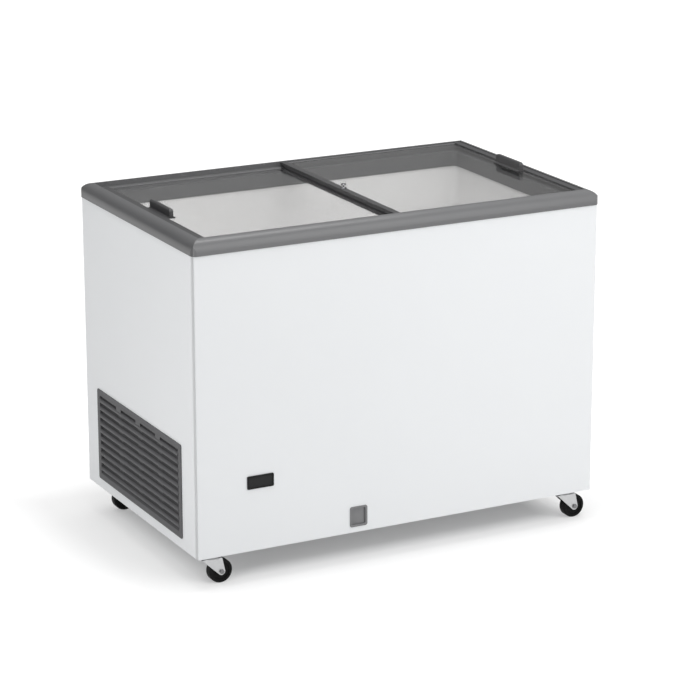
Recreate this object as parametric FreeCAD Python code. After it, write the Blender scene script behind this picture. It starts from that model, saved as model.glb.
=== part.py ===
"""Chest freezer with two flat sliding glass lids, a grey plastic top frame, a louvred side grille and swivel castors.

The frame of the model: the origin lies on the floor below the middle of the cabinet, +X runs to the right along
the front, -Y is the front and +Z is up. All sizes are in millimetres.
"""
import FreeCAD, Part
import math
import os

V = FreeCAD.Vector
X_AXIS = V(1, 0, 0)
Y_AXIS = V(0, 1, 0)
Z_AXIS = V(0, 0, 1)

# Cabinet
cabinet_length = 1180.0
cabinet_depth = 720.0
shell_height = 802.0
sheet = 1.0
panel_return = 14.0
panel_bend_radius = 3.0
panel_tuck = 8.0
base_pad_depth = 4.0
base_pad_border = 30.0
base_pad_radius = 12.0

# Storage well and insulation
collar_thickness = 2.5
collar_height = 41.0
liner_thickness = 1.2
liner_corner_radius = 20.0
floor_insulation = 60.0
hump_insulation = 44.0

# Machine compartment under the step at the left end of the well
compartment_height = 284.0

# Top frame
frame_overhang = 4.0
frame_height = 39.5
frame_corner_radius = 14.0
crest_width = 30.0
crest_radius = 30.0
frame_wall = 4.0
upper_ledge_drop = 14.0
upper_ledge_width = 12.0
lower_ledge_drop = 25.0
lower_ledge_width = 16.0

# Sliding lids
glass_thickness = 4.0
glass_grip = 8.5
lid_side_gap = 1.0
lid_end_gap = 1.0
runner_gap = 0.3
upper_lid_reach = 6.0
lower_lid_reach = 2.0
runner_width = 11.5
upper_glass_lift = 4.7
upper_runner_cap = 1.3
lower_glass_lift = 4.7
lower_runner_cap = 3.0
profile_edge = 0.8
upper_end_width = 20.0
upper_end_cap = 3.0
lower_end_width = 36.0
lower_end_cap = 4.0
centre_profile_width = 18.0
centre_grip = 6.0
centre_profile_cap = 3.0
centre_web = 2.0
centre_lip = 3.5
lip_clearance = 1.5
lower_centre_width = 18.0
lower_lip_thickness = 3.0
lower_lip_height = 4.2
lower_lip_setback = 1.0
seal_gap = 0.3
seal_thickness = 2.5

# Lid handles and lock
handle_length = 126.0
handle_height = 26.0
handle_foot_width = 24.0
handle_foot_thickness = 3.0
handle_fin_thickness = 11.0
handle_fillet = 3.0
handle_corner_radius = 8.0
lock_front_offset = 25.0
lock_barrel_diameter = 16.0
lock_barrel_height = 4.0
lock_knob_diameter = 14.0
lock_knob_height = 4.0
lock_pin_diameter = 4.0
lock_stroke = 5.0
lock_edge = 1.0
lock_park_gap = 0.4
lock_side_gap = 0.4
running_gap = 0.05

# Side grille
grille_front_offset = 92.0
grille_rear_offset = 79.0
grille_height = 256.0
grille_base_offset = 28.0
grille_plate = 2.5
grille_flange = 6.0
grille_spigot_depth = 8.0
grille_spigot_wall = 2.5
grille_rows = 11
grille_columns = 4
grille_margin = 16.0
grille_side_margin = 17.0
grille_rib = 30.0
grille_tie = 4.0
grille_blade = 14.0
grille_blade_rise = 6.0
grille_ridge = 1.4

# Temperature controller in the front panel
controller_width = 75.0
controller_height = 35.0
controller_left_offset = 141.0
controller_base_offset = 169.0
controller_proud = 3.0
controller_radius = 3.0
controller_rim = 4.0
controller_depth = 48.0
controller_wall = 2.0
lens_recess = 0.8
lens_thickness = 1.6

# Drain outlet in the front panel
drain_width = 51.0
drain_height = 56.0
drain_left_offset = 437.5
drain_base_offset = 15.5
drain_proud = 2.0
drain_rim = 3.2
drain_radius = 6.0
drain_cup_depth = 16.0
drain_cup_wall = 2.0
drain_cap_recess = 5.0
drain_cap_thickness = 6.0
drain_tube_diameter = 22.0
drain_tube_wall = 2.0
drain_inlet_setback = 60.0
piece_gap = 0.3

# Swivel castors
castor_headroom = 22.0
castor_side_inset = 55.0
castor_face_inset = 48.0
castor_plate_size = 60.0
castor_plate_thickness = 2.5
castor_plate_radius = 4.0
castor_bolt_spacing = 44.0
castor_bolt_diameter = 6.0
castor_bolt_head = 10.0
castor_bolt_head_height = 3.5
castor_trail = 26.0
wheel_diameter = 65.0
wheel_width = 25.0
wheel_hub_diameter = 18.0
wheel_dish = 2.5
wheel_rim = 9.0
wheel_side_gap = 1.5
tread_chamfer = 3.0
axle_diameter = 8.0
axle_head = 13.0
axle_head_height = 4.0
fork_sheet = 2.0
fork_top_width = 56.0
fork_eye_radius = 10.0
fork_bridge_gap = 3.0
race_diameter = 50.0
race_neck_diameter = 42.0
race_gap = 0.4
kingpin_diameter = 10.0
kingpin_head = 14.0
kingpin_head_height = 2.4

# Refrigeration pieces
compressor_diameter = 150.0
compressor_height = 170.0
compressor_left_gap = 65.0
compressor_rear_offset = 190.0
compressor_seam = 3.5
compressor_base_round = 26.0
compressor_crown_round = 34.0
compressor_port_offset = 30.0
terminal_box_depth = 22.0
terminal_box_width = 71.0
terminal_box_height = 79.0
terminal_box_lift = 51.0
terminal_box_wrap = 16.0
terminal_box_radius = 6.0
terminal_box_gap = 7.2
grommet_diameter = 24.0
grommet_height = 16.0
foot_plate_thickness = 3.0
foot_plate_length = 170.0
foot_plate_depth = 150.0
tube_diameter = 8.0
tube_bend_radius = 12.0
condenser_passes = 8
condenser_pitch = 28.0
condenser_run = 200.0
condenser_side_offset = 40.0
condenser_front_offset = 120.0
condenser_floor_gap = 24.0
bracket_strip = 15.0
fan_diameter = 164.0
fan_blades = 5
fan_hub_diameter = 46.0
fan_hub_length = 22.0
fan_shaft_diameter = 6.0
fan_motor_diameter = 64.0
fan_motor_length = 52.0
fan_shroud_border = 10.0
fan_shroud_sheet = 2.0
fan_tip_gap = 6.0
blade_root_chord = 27.6
blade_tip_chord = 62.0
blade_root_pitch = math.radians(38)
blade_tip_pitch = math.radians(14)
drier_diameter = 22.0
drier_length = 110.0
evaporator_turns = 6
evaporator_pitch = 60.0
evaporator_tube_height = 9.0
evaporator_tube_depth = 6.0
evaporator_start = 60.0
evaporator_gap = 42.0
gland_diameter = 20.0
gland_flange = 28.0
gland_proud = 3.0
gland_neck = 12.0
gland_bore = 9.0
vent_rows = 7
vent_length = 150.0
vent_width = 7.0
vent_pitch = 18.0

# Places worked out from the sizes above
half_length = cabinet_length / 2
half_depth = cabinet_depth / 2
bend_inside = panel_bend_radius - sheet
base_z = wheel_diameter + castor_headroom
floor_sheet_z = base_z + sheet
shell_top = base_z + shell_height
crest_z = shell_top + frame_height
frame_half_x = half_length + frame_overhang
frame_half_y = half_depth + frame_overhang
pocket_x = frame_half_x - crest_width
upper_pocket_y = frame_half_y - crest_width
lower_pocket_y = upper_pocket_y - upper_ledge_width
throat_y = lower_pocket_y - lower_ledge_width
throat_x = pocket_x - upper_ledge_width - lower_ledge_width
upper_ledge_z = crest_z - upper_ledge_drop
lower_ledge_z = crest_z - lower_ledge_drop
well_floor_z = base_z + floor_insulation
pot_reach = compressor_diameter / 2 + compressor_seam + piece_gap
compressor_x = -half_length + compressor_left_gap + compressor_diameter / 2
compartment_length = compressor_x + half_length + pot_reach + terminal_box_depth + terminal_box_gap
compartment_x = -half_length + compartment_length
compartment_top = floor_sheet_z + compartment_height
hump_x = compartment_x + sheet + hump_insulation
hump_z = compartment_top + sheet + hump_insulation
grille_width = cabinet_depth - grille_front_offset - grille_rear_offset
fan_shroud_size = fan_diameter + 2 * (fan_tip_gap + fan_shroud_border)


def box(x0, x1, y0, y1, z0, z1):
    """A box between two corners."""
    return Part.makeBox(x1 - x0, y1 - y0, z1 - z0, V(x0, y0, z0))


def rounded_box(x0, x1, y0, y1, z0, z1, radius, axis):
    """A box whose four edges along one axis are rounded."""
    solid = box(x0, x1, y0, y1, z0, z1)
    along = [edge for edge in solid.Edges if edge.tangentAt(edge.FirstParameter).cross(axis).Length < 0.001]
    return solid.makeFillet(radius, along)


def rod(radius, start, end):
    """A round bar from one point to another."""
    direction = end - start
    return Part.makeCylinder(radius, direction.Length, start, direction)


def outline(points):
    """A closed wire of straight edges; a point given as a pair (through, end) makes an arc to end."""
    edges = []
    first = points[0]
    here = first
    for step in points[1:] + [first]:
        if isinstance(step, tuple):
            through, end = step
            edges.append(Part.Arc(here, through, end).toShape())
        else:
            end = step
            edges.append(Part.LineSegment(here, end).toShape())
        here = end
    return Part.Wire(edges)


def prism(points, direction):
    """A solid made by pushing a closed outline along a direction."""
    return Part.Face(outline(points)).extrude(direction)


def turned(points, centre, axis):
    """A solid of revolution from an outline on one side of the axis."""
    return Part.Face(outline(points)).revolve(centre, axis, 360)


def bent_tube(points, bend_radius, tube_radius):
    """A solid tube along straight runs joined by tangent arcs of one radius."""
    edges = []
    here = points[0]
    for corner, after in zip(points[1:-1], points[2:]):
        back = (here - corner).normalize()
        ahead = (after - corner).normalize()
        half_turn = back.getAngle(ahead) / 2
        reach = bend_radius / math.tan(half_turn)
        start = corner + back * reach
        end = corner + ahead * reach
        bisector = (back + ahead).normalize()
        centre = corner + bisector * (bend_radius / math.sin(half_turn))
        middle = centre - bisector * bend_radius
        edges.append(Part.LineSegment(here, start).toShape())
        edges.append(Part.Arc(start, middle, end).toShape())
        here = end
    edges.append(Part.LineSegment(here, points[-1]).toShape())
    path = Part.Wire(edges)
    circle = Part.Wire(Part.makeCircle(tube_radius, points[0], points[1] - points[0]))
    return path.makePipeShell([circle], True, False)


def ring(inset_outer, inset_inner, z0, z1):
    """A rectangular ring between two insets from the outside of the top frame."""
    outer = box(-frame_half_x + inset_outer, frame_half_x - inset_outer,
                -frame_half_y + inset_outer, frame_half_y - inset_outer, z0, z1)
    inner = box(-frame_half_x + inset_inner, frame_half_x - inset_inner,
                -frame_half_y + inset_inner, frame_half_y - inset_inner, z0, z1)
    return outer.cut(inner)


def soften_top(solid, axis):
    """Round the upper edges of a bar that run along one axis."""
    top = solid.BoundBox.ZMax
    edges = [edge for edge in solid.Edges if abs(edge.BoundBox.ZMin - top) < 0.001
             and edge.tangentAt(edge.FirstParameter).cross(axis).Length < 0.001]
    return solid.makeFillet(profile_edge, edges)


def shell_space(z0, z1):
    """The space inside the sheet panels between two levels."""
    x = half_length - sheet
    y = half_depth - sheet
    return rounded_box(-x, x, -y, y, z0, z1, bend_inside, Z_AXIS)


def panel_tray(face_y, inward):
    """A front or rear sheet with both ends bent back over the sides."""
    y_in = face_y + inward * panel_return
    skin = rounded_box(-half_length, half_length, min(face_y, face_y + inward * 2 * panel_return),
                       max(face_y, face_y + inward * 2 * panel_return), base_z, shell_top + panel_tuck,
                       panel_bend_radius, Z_AXIS)
    hollow = rounded_box(-half_length + sheet, half_length - sheet,
                         min(face_y + inward * sheet, face_y + inward * 3 * panel_return),
                         max(face_y + inward * sheet, face_y + inward * 3 * panel_return),
                         base_z, shell_top + panel_tuck, bend_inside, Z_AXIS)
    keep = box(-half_length, half_length, min(face_y, y_in), max(face_y, y_in), base_z, shell_top + panel_tuck)
    return skin.common(keep).cut(hollow)


def controller_place():
    """Left, right, lower and upper edges of the controller's bezel."""
    x0 = -half_length + controller_left_offset
    z0 = base_z + controller_base_offset
    return x0, x0 + controller_width, z0, z0 + controller_height


def drain_place():
    """Left, right, lower and upper edges of the drain outlet."""
    x0 = -half_length + drain_left_offset
    z0 = base_z + drain_base_offset
    return x0, x0 + drain_width, z0, z0 + drain_height


def grille_place():
    """Front, rear, lower and upper edges of the side grille."""
    y0 = -half_depth + grille_front_offset
    z0 = base_z + grille_base_offset
    return y0, y0 + grille_width, z0, z0 + grille_height


def front_panel():
    """Front sheet with the openings for the controller and the drain outlet."""
    panel = panel_tray(-half_depth, 1)
    x0, x1, z0, z1 = controller_place()
    rim = controller_rim
    panel = panel.cut(box(x0 + rim, x1 - rim, -half_depth, -half_depth + sheet, z0 + rim, z1 - rim))
    x0, x1, z0, z1 = drain_place()
    rim = drain_rim
    return panel.cut(box(x0 + rim, x1 - rim, -half_depth, -half_depth + sheet, z0 + rim, z1 - rim))


def vent_slots():
    """Tools for the air outlet in the rear panel, behind the machine compartment."""
    middle_x = -half_length + compartment_length / 2
    middle_z = floor_sheet_z + compartment_height / 2
    slots = []
    for row in range(vent_rows):
        z = middle_z + (row - (vent_rows - 1) / 2) * vent_pitch
        slots.append(rounded_box(middle_x - vent_length / 2, middle_x + vent_length / 2,
                                 half_depth - 2 * sheet, half_depth + sheet,
                                 z - vent_width / 2, z + vent_width / 2, vent_width / 2 - running_gap, Y_AXIS))
    return slots


def gland_centre():
    """Where the cord's bush sits in the rear panel, low beside the bulkhead."""
    return V(compartment_x - gland_flange, half_depth, floor_sheet_z + gland_flange)


def rear_panel():
    """Rear sheet with the air outlet and the hole for the cord's bush."""
    hole_start = gland_centre() - Y_AXIS * (2 * sheet)
    hole = rod(gland_diameter / 2, hole_start, gland_centre() + Y_AXIS * sheet)
    return panel_tray(half_depth, -1).cut(vent_slots() + [hole])


def side_panel(side):
    """Flat end sheet between the bent edges of the front and rear panels."""
    y = half_depth - panel_return
    outer = side * half_length
    inner = side * (half_length - sheet)
    return box(min(outer, inner), max(outer, inner), -y, y, base_z, shell_top + panel_tuck)


def left_panel():
    """Left end sheet with the air opening behind the grille."""
    y0, y1, z0, z1 = grille_place()
    edge = grille_flange
    aperture = box(-half_length - sheet, -half_length + 2 * sheet, y0 + edge, y1 - edge, z0 + edge, z1 - edge)
    return side_panel(-1).cut(aperture)


def castor_centres():
    """Name and swivel axis of each castor."""
    x = half_length - castor_side_inset
    y = half_depth - castor_face_inset
    return {"front_left": (-x, -y), "front_right": (x, -y), "rear_left": (-x, y), "rear_right": (x, y)}


def castor_bolt_places():
    """Centres of all castor bolts."""
    step = castor_bolt_spacing / 2
    return [(x + i * step, y + j * step) for x, y in castor_centres().values() for i in (-1, 1) for j in (-1, 1)]


def base_pad(inset, z0, z1):
    """Block over the flat area that is pressed down in the base sheet, clear of the swing of the castors."""
    x0 = compartment_x + base_pad_border + inset
    x1 = half_length - castor_side_inset - castor_plate_size - inset
    y = half_depth - base_pad_border - inset
    return rounded_box(x0, x1, -y, y, z0, z1, base_pad_radius - inset, Z_AXIS)


def base_panel():
    """Floor sheet with a pressed pad, drilled for the castor bolts."""
    plate = shell_space(base_z, floor_sheet_z).fuse(base_pad(0.0, base_z - base_pad_depth, floor_sheet_z))
    plate = plate.removeSplitter().cut(base_pad(sheet, base_z - base_pad_depth + sheet, floor_sheet_z))
    holes = [rod(castor_bolt_diameter / 2, V(a, b, base_z - sheet), V(a, b, floor_sheet_z + sheet))
             for a, b in castor_bolt_places()]
    return plate.cut(holes)


def well_space(grow):
    """The storage well with its step, as a solid that is larger all round by grow, open upwards."""
    top = shell_top
    tank = rounded_box(-throat_x - grow, throat_x + grow, -throat_y - grow, throat_y + grow,
                       well_floor_z - grow, top, liner_corner_radius + grow, Z_AXIS)
    step = box(-half_length, hump_x - grow, -half_depth, half_depth, base_z, hump_z - grow)
    return tank.cut(step)


def drain_inlet():
    """Where the drain leaves the floor of the well."""
    x0, x1, z0, z1 = drain_place()
    return V((x0 + x1) / 2, -half_depth + drain_inlet_setback, well_floor_z)


def liner():
    """Thin inner tank of the well, stepped over the machine compartment, with the drain hole in its floor."""
    inlet = drain_inlet()
    hole = rod(drain_tube_diameter / 2 - drain_tube_wall, inlet - Z_AXIS * (3 * liner_thickness), inlet + Z_AXIS)
    return well_space(liner_thickness).cut(well_space(0.0)).cut(hole)


def evaporator_band():
    """Lowest and highest level of the evaporator tube round the well."""
    z0 = hump_z + evaporator_start
    return z0, z0 + (evaporator_turns - 1) * evaporator_pitch + evaporator_tube_height


def evaporator_shell(gap, z0, z1):
    """A block round the liner that stands off it by a gap."""
    grow = liner_thickness + gap
    return rounded_box(-throat_x - grow, throat_x + grow, -throat_y - grow, throat_y + grow,
                       z0, z1, liner_corner_radius + grow, Z_AXIS)


def evaporator_coil():
    """Flat tube wound round the liner: level turns, broken at the rear, with a riser to the next turn."""
    z0, z1 = evaporator_band()
    depth = evaporator_tube_depth
    y_in = throat_y + liner_thickness + piece_gap
    turns = []
    for k in range(evaporator_turns):
        z = z0 + k * evaporator_pitch
        loop = evaporator_shell(piece_gap + depth, z, z + evaporator_tube_height)
        loop = loop.cut(evaporator_shell(piece_gap, z, z + evaporator_tube_height))
        turns.append(loop.cut(box(-evaporator_gap / 2, evaporator_gap / 2, 0, half_depth, z, z + evaporator_pitch)))
    for k in range(evaporator_turns - 1):
        z = z0 + k * evaporator_pitch
        start = V(evaporator_gap / 2, y_in, z)
        rise = V(-evaporator_gap, 0, evaporator_pitch)
        thick = evaporator_tube_height
        turns.append(prism([start, start + V(thick, 0, 0), start + V(thick, 0, thick), start + rise + V(0, 0, thick),
                            start + rise + V(-thick, 0, thick), start + rise + V(-thick, 0, 0)], V(0, depth, 0)))
    return turns[0].fuse(turns[1:]).removeSplitter()


def drain_channel():
    """Space in the insulation for the drain tube and the back of its cup."""
    x0, x1, z0, z1 = drain_place()
    inlet = drain_inlet()
    pipe = box(x0, x1, -half_depth, inlet.y + drain_tube_diameter, z0, well_floor_z - liner_thickness)
    cup = box(x0, x1, -half_depth, -half_depth + drain_cup_depth + piece_gap, z0, z1)
    return pipe.fuse(cup)


def foam_insulation():
    """Foam between the outer sheets and the well, with the room that the pieces inside it take."""
    block = shell_space(floor_sheet_z, shell_top)
    block = block.fuse(base_pad(sheet, base_z - base_pad_depth + sheet, floor_sheet_z)).removeSplitter()
    z0, z1 = evaporator_band()
    recess = evaporator_shell(2 * piece_gap + evaporator_tube_depth, z0 - piece_gap, z1 + piece_gap)
    compartment = box(-half_length, compartment_x + sheet, -half_depth, half_depth, base_z, compartment_top + sheet)
    return block.cut([well_space(liner_thickness), recess, compartment, drain_channel()])


def compartment_liner():
    """Bent sheet that closes the machine compartment against the insulation."""
    y = half_depth - sheet
    x0 = -half_length + sheet
    block = box(x0, compartment_x + sheet, -y, y, floor_sheet_z, compartment_top + sheet)
    block = block.common(shell_space(floor_sheet_z, compartment_top + sheet))
    return block.cut(box(x0, compartment_x, -y, y, floor_sheet_z, compartment_top))


def frame_block():
    """The whole top frame before it is mitred: quarter-round outside, two ledges for the lids inside."""
    spring_z = crest_z - crest_radius
    slope = math.sin(math.radians(45)) * crest_radius

    def bar(axis, run, across, wide):
        """The frame's outside along one axis, before it is cut off at the corners."""
        start = axis * -run
        flank = wide - crest_radius + slope

        def at(u, z):
            return start + across * u + Z_AXIS * z

        profile = [at(-wide, shell_top), at(wide, shell_top), at(wide, spring_z),
                   (at(flank, spring_z + slope), at(wide - crest_radius, crest_z)),
                   at(-wide + crest_radius, crest_z),
                   (at(-flank, spring_z + slope), at(-wide, spring_z))]
        return prism(profile, axis * (2 * run))

    plan = rounded_box(-frame_half_x, frame_half_x, -frame_half_y, frame_half_y, shell_top, crest_z,
                       frame_corner_radius, Z_AXIS)
    long_bar = bar(X_AXIS, frame_half_x, Y_AXIS, frame_half_y)
    short_bar = bar(Y_AXIS, frame_half_y, X_AXIS, frame_half_x)
    solid = long_bar.common(short_bar).common(plan)
    upper = box(-pocket_x, pocket_x, -upper_pocket_y, upper_pocket_y, upper_ledge_z, crest_z)
    lower = box(-pocket_x, pocket_x, -lower_pocket_y, lower_pocket_y, lower_ledge_z, crest_z)
    throat = rounded_box(-throat_x, throat_x, -throat_y, throat_y, shell_top, crest_z, liner_corner_radius, Z_AXIS)
    ledge_inset = crest_width + upper_ledge_width + lower_ledge_width
    outer_channel = ring(frame_overhang, crest_width - frame_wall, shell_top, spring_z + frame_wall)
    inner_channel = ring(crest_width + frame_wall, ledge_inset - frame_wall, shell_top, lower_ledge_z - frame_wall)
    corner_bosses = [rounded_box(i * throat_x - liner_corner_radius, i * throat_x + liner_corner_radius,
                                 j * throat_y - liner_corner_radius, j * throat_y + liner_corner_radius,
                                 shell_top, lower_ledge_z, frame_wall, Z_AXIS) for i in (-1, 1) for j in (-1, 1)]
    inner_channel = inner_channel.cut(corner_bosses)
    return solid.cut([upper, lower, throat, outer_channel, inner_channel])


def frame_rails():
    """The frame cut along its mitres into four rails."""
    block = frame_block()
    reach = frame_half_y
    inner_x = frame_half_x - reach
    z0 = V(0, 0, shell_top)
    lift = V(0, 0, frame_height)
    rails = {}
    for name, side in (("frame_front_rail", -1), ("frame_rear_rail", 1)):
        wedge = prism([z0 + V(-frame_half_x, side * reach, 0), z0 + V(frame_half_x, side * reach, 0),
                       z0 + V(inner_x, 0, 0), z0 + V(-inner_x, 0, 0)], lift)
        rails[name] = block.common(wedge)
    for name, side in (("frame_left_rail", -1), ("frame_right_rail", 1)):
        wedge = prism([z0 + V(side * frame_half_x, -reach, 0), z0 + V(side * frame_half_x, reach, 0),
                       z0 + V(side * inner_x, 0, 0)], lift)
        rails[name] = block.common(wedge)
    return rails


def inner_collar():
    """Thin band that covers the joint between the frame and the liner."""
    z1 = lower_ledge_z
    z0 = z1 - collar_height
    x = throat_x
    y = throat_y
    t = collar_thickness
    outer = rounded_box(-x, x, -y, y, z0, z1, liner_corner_radius, Z_AXIS)
    return outer.cut(rounded_box(-x + t, x - t, -y + t, y - t, z0, z1, liner_corner_radius - t, Z_AXIS))


class LidLevels:
    """Levels of one lid above the ledge that carries it."""

    def __init__(self, ledge, lift, cap):
        self.bottom = ledge + runner_gap
        self.glass_bottom = self.bottom + lift
        self.glass_top = self.glass_bottom + glass_thickness
        self.runner_top = self.glass_top + cap


upper = LidLevels(upper_ledge_z, upper_glass_lift, upper_runner_cap)
lower = LidLevels(lower_ledge_z, lower_glass_lift, lower_runner_cap)
upper_lid_y = upper_pocket_y - lid_side_gap
lower_lid_y = lower_pocket_y - lid_side_gap
upper_lid_end = pocket_x - lid_end_gap
upper_lid_start = -upper_lid_reach
lower_lid_start = -pocket_x + lid_end_gap
lower_lid_end = lower_lid_reach
upper_glass_start = upper_lid_start + centre_profile_width - centre_grip
upper_glass_end = upper_lid_end - upper_end_width + glass_grip
lower_glass_start = lower_lid_start + lower_end_width - glass_grip
lower_glass_end = lower_lid_end - lower_centre_width + glass_grip
upper_end_top = upper.glass_top + upper_end_cap
lower_end_top = lower.glass_top + lower_end_cap
lock_x = lower_lid_end - lower_lip_setback + lock_side_gap + lock_pin_diameter / 2
lock_y = -lock_front_offset


def upper_glass():
    """Pane of the right lid."""
    y = upper_lid_y - runner_width + glass_grip
    return box(upper_glass_start, upper_glass_end, -y, y, upper.glass_bottom, upper.glass_top)


def lower_glass():
    """Pane of the left lid."""
    y = lower_lid_y - runner_width + glass_grip
    return box(lower_glass_start, lower_glass_end, -y, y, lower.glass_bottom, lower.glass_top)


def runners(lid_y, levels, x0, x1, glass):
    """The two grooved strips that carry the long edges of a pane."""
    strips = []
    for side in (-1, 1):
        outer = side * lid_y
        inner = side * (lid_y - runner_width)
        strip = box(x0, x1, min(outer, inner), max(outer, inner), levels.bottom, levels.runner_top)
        strips.append(soften_top(strip, X_AXIS).cut(glass))
    return Part.makeCompound(strips)


def upper_end_profile(glass):
    """Grooved bar on the right end of the upper pane."""
    bar = box(upper_lid_end - upper_end_width, upper_lid_end, -upper_lid_y, upper_lid_y, upper.bottom, upper_end_top)
    return soften_top(bar, Y_AXIS).cut(glass)


def lower_end_profile(glass):
    """Wide grooved bar on the left end of the lower pane."""
    bar = box(lower_lid_start, lower_lid_start + lower_end_width, -lower_lid_y, lower_lid_y,
              lower.bottom, lower_end_top)
    return soften_top(bar, Y_AXIS).cut(glass)


def upper_centre_profile(glass):
    """Dark edge at the middle of the upper lid, with a lip that hangs behind the lower lid's lip."""
    x0 = upper_lid_start
    x1 = x0 + centre_profile_width
    top = upper.glass_top + centre_profile_cap
    web = upper.glass_bottom - centre_web
    lip_y = lower_lid_y - runner_width - lid_side_gap
    bar = soften_top(box(x0, x1, -upper_lid_y, upper_lid_y, web, top), Y_AXIS)
    lip = box(x0, x0 + centre_lip, -lip_y, lip_y, lower.glass_top + lip_clearance, web)
    bore = rod(lock_pin_diameter / 2 + running_gap, V(lock_x, lock_y, web), V(lock_x, lock_y, top))
    return bar.fuse(lip).removeSplitter().cut([glass, bore])


def lower_centre_profile(glass):
    """Edge at the middle of the lower lid, with a lip that stands up inside the upper lid's edge."""
    x1 = lower_lid_end
    x0 = x1 - lower_centre_width
    lip_x = x1 - lower_lip_setback
    lip_y = lower_lid_y - runner_width - lid_side_gap
    bar = box(x0, x1, -lower_lid_y, lower_lid_y, lower.bottom, lower.glass_top)
    lip = box(lip_x - lower_lip_thickness, lip_x, -lip_y, lip_y,
              lower.glass_top, lower.glass_top + lower_lip_height)
    return bar.fuse(lip).removeSplitter().cut(glass)


def centre_seal():
    """Soft strip under the upper lid's hanging lip."""
    x0 = upper_lid_start + (centre_lip - seal_thickness) / 2
    lip_y = lower_lid_y - runner_width - lid_side_gap
    return box(x0, x0 + seal_thickness, -lip_y, lip_y, lower.glass_top + seal_gap, lower.glass_top + lip_clearance)


def lid_handle(x, z):
    """Upright fin on a flat foot, glued to the pane; x is the middle of the foot and z the top of the glass."""
    half_foot = handle_foot_width / 2
    half_fin = handle_fin_thickness / 2
    foot = handle_foot_thickness
    sag = handle_fillet * (1 - math.sin(math.radians(45)))
    start = V(x, -handle_length / 2, z)

    def at(u, w):
        return start + X_AXIS * u + Z_AXIS * w

    side = [at(half_foot, 0), at(half_foot, foot / 2), at(half_foot - foot / 2, foot),
            at(half_fin + handle_fillet, foot),
            (at(half_fin + sag, foot + sag), at(half_fin, foot + handle_fillet)),
            at(half_fin, handle_height - half_fin),
            (at(0, handle_height), at(-half_fin, handle_height - half_fin)),
            at(-half_fin, foot + handle_fillet),
            (at(-half_fin - sag, foot + sag), at(-half_fin - handle_fillet, foot)),
            at(-half_foot + foot / 2, foot), at(-half_foot, foot / 2), at(-half_foot, 0)]
    bar = prism(side, Y_AXIS * handle_length)
    return bar.common(rounded_box(x - half_foot, x + half_foot, -handle_length / 2, handle_length / 2,
                                  z - handle_height, z + handle_height, handle_corner_radius, X_AXIS))


def lock_barrel():
    """Collar on the centre profile that guides the lock's pin."""
    z0 = upper.glass_top + centre_profile_cap
    z1 = z0 + lock_barrel_height
    body = rod(lock_barrel_diameter / 2, V(lock_x, lock_y, z0), V(lock_x, lock_y, z1))
    rim = [edge for edge in body.Edges if abs(edge.BoundBox.ZMin - z1) < 0.001]
    body = body.makeChamfer(lock_edge, rim)
    return body.cut(rod(lock_pin_diameter / 2 + running_gap, V(lock_x, lock_y, z0), V(lock_x, lock_y, z1)))


def lock_plunger():
    """Push knob with a pin that drops behind the lower lid's lip."""
    pin_z = lower.glass_top + lock_park_gap + lock_stroke
    knob_z = upper.glass_top + centre_profile_cap + lock_barrel_height + lock_stroke + lock_park_gap
    r_pin = lock_pin_diameter / 2
    r_knob = lock_knob_diameter / 2
    c = V(lock_x, lock_y, 0)
    top = knob_z + lock_knob_height
    profile = [c + V(0, 0, pin_z), c + V(r_pin, 0, pin_z), c + V(r_pin, 0, knob_z), c + V(r_knob, 0, knob_z),
               c + V(r_knob, 0, top - lock_edge), c + V(r_knob - lock_edge, 0, top), c + V(0, 0, top)]
    return turned(profile, c, Z_AXIS)


def grille_blade_outline(y, z):
    """Section of one louvre blade: a round lip in front of the plate, and a slope that rises inwards."""
    radius = grille_blade / 2
    lip = -half_length - grille_plate - grille_ridge
    inner = -half_length + grille_spigot_depth
    return [V(inner, y, z + grille_blade_rise), V(lip + radius, y, z),
            (V(lip, y, z + radius), V(lip + radius, y, z + grille_blade)),
            V(inner, y, z + grille_blade_rise + grille_blade)]


def side_grille():
    """Louvred plate: blades across a window, strips that tie them behind, and a spigot through the side panel.

    The top row is closed between its slots."""
    y0, y1, z0, z1 = grille_place()
    back = -half_length
    face = back - grille_plate
    depth = back + grille_spigot_depth
    low_y = y0 + grille_side_margin
    low_z = z0 + grille_margin
    high_z = z1 - grille_margin
    window_width = grille_width - 2 * grille_side_margin
    plate = rounded_box(face, back, y0, y1, z0, z1, grille_flange, X_AXIS)
    plate = plate.cut(box(face, back, low_y, low_y + window_width, low_z, high_z))
    edge = grille_flange + piece_gap
    wall = edge + grille_spigot_wall
    spigot = box(back, depth, y0 + edge, y1 - edge, z0 + edge, z1 - edge)
    spigot = spigot.cut(box(back, depth, y0 + wall, y1 - wall, z0 + wall, z1 - wall))
    blade_count = grille_rows - 1
    slot_height = (high_z - low_z - blade_count * grille_blade) / grille_rows
    pieces = [spigot]
    for row in range(blade_count):
        z = low_z + slot_height + row * (slot_height + grille_blade)
        pieces.append(prism(grille_blade_outline(low_y, z), Y_AXIS * window_width))
    for column in range(1, grille_columns):
        y = low_y + column * window_width / grille_columns
        left = y - grille_rib / 2
        right = y + grille_rib / 2
        pieces.append(box(depth - grille_tie, depth, left, right, z0 + wall, z1 - wall))
        pieces.append(box(face, back, left, right, high_z - slot_height - grille_blade / 2, high_z))
    return plate.fuse(pieces).removeSplitter()


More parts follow.
